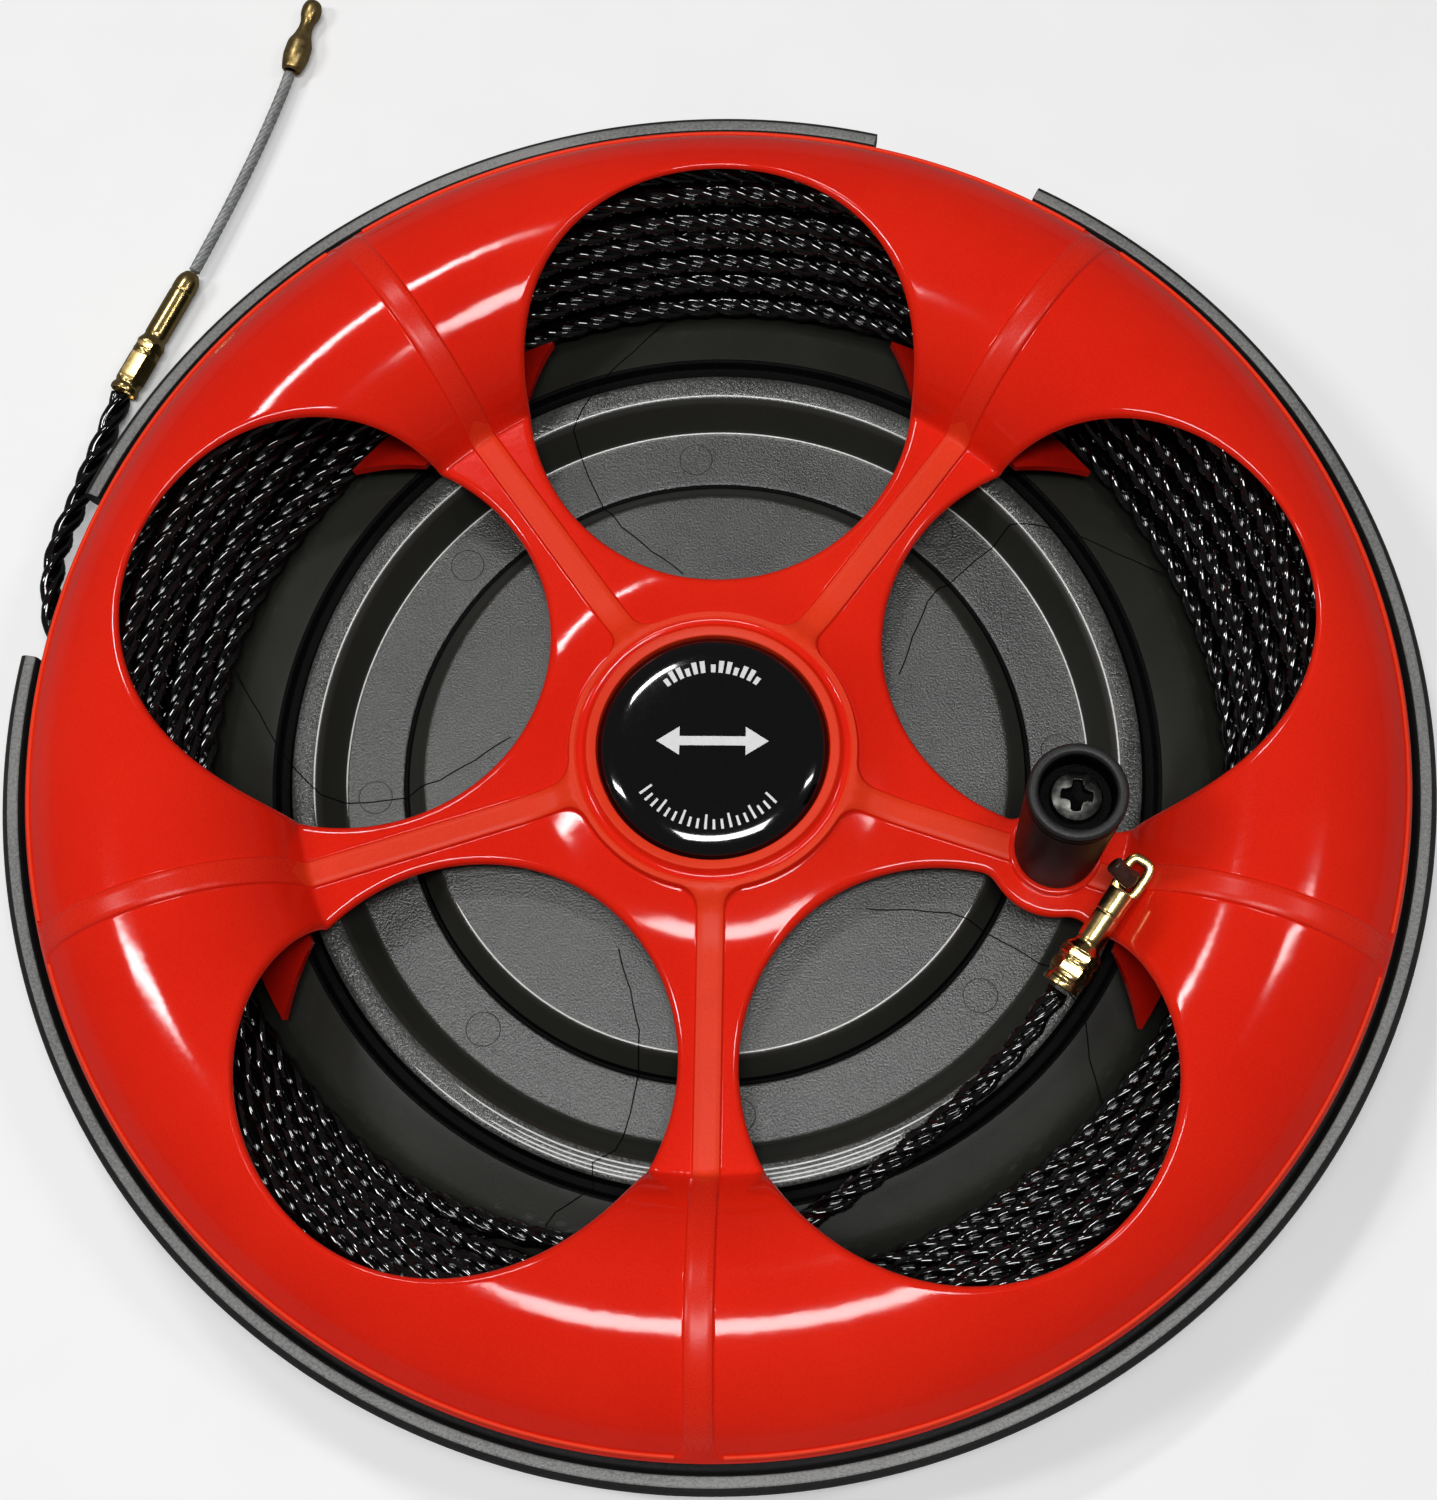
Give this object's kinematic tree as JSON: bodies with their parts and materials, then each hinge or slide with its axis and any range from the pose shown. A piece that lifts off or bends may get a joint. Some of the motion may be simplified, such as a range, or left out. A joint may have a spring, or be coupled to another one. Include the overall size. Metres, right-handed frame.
{
  "type": "fish tape reel",
  "caption": "Round hand-cranked fish tape reel: red spoked wheel turning in a dark flanged pan, wound with twisted tape that ends in brass fittings.",
  "frame": {"origin": "middle of the pan's underside, on the turning axis", "axes": "+Z is the turning axis, towards the wheel and the crank; the crank's spoke points 18 degrees below +X"},
  "size_m": [0.33, 0.3784, 0.07],
  "materials": {
    "red_plastic": "glossy moulded red plastic with a faint grain",
    "dark_plastic": "grained anthracite moulded plastic",
    "black_plastic": "satin black moulded plastic",
    "badge_gloss": "domed black gloss",
    "tape": "glossy black twisted strands",
    "brass": "turned and crimped, lightly tarnished",
    "steel_wire": "stranded wire",
    "zinc_steel": "zinc plated",
    "dark_steel": "dark phosphated screw",
    "bronze": "sintered bush",
    "nylon": "natural nylon"
  },
  "bodies": {
    "base": {"rear_pan": "dark_plastic", "axle_bolt": "zinc_steel", "rear_washer": "zinc_steel", "thrust_washer": "nylon", "front_washer": "zinc_steel", "lock_nut": "zinc_steel", "tape_lead": "tape", "lead_sleeve": "brass", "leader_wire": "steel_wire", "leader_tip": "brass"},
    "wheel": {"front_cover": "red_plastic", "hub_bush": "bronze", "hub_badge": "badge_gloss", "crank_sleeve": "zinc_steel", "crank_washer": "zinc_steel", "crank_screw": "dark_steel", "crank_nut": "zinc_steel", "tail_peg": "black_plastic", "tape_winding": "tape", "tape_tail": "tape", "tail_sleeve": "brass", "tail_eyelet": "brass"},
    "knob": {"knob_grip": "black_plastic"}
  },
  "joints": [
    {"name": "wheel_spin", "type": "hinge", "parent": "base", "child": "wheel", "pos_m": [0, 0, 0.012], "axis": [0, 0, 1], "continuous": true},
    {"name": "knob_spin", "type": "hinge", "parent": "wheel", "child": "knob", "pos_m": [0.07836, -0.02277, 0.045], "axis": [0, 0, 1], "continuous": true}
  ]
}
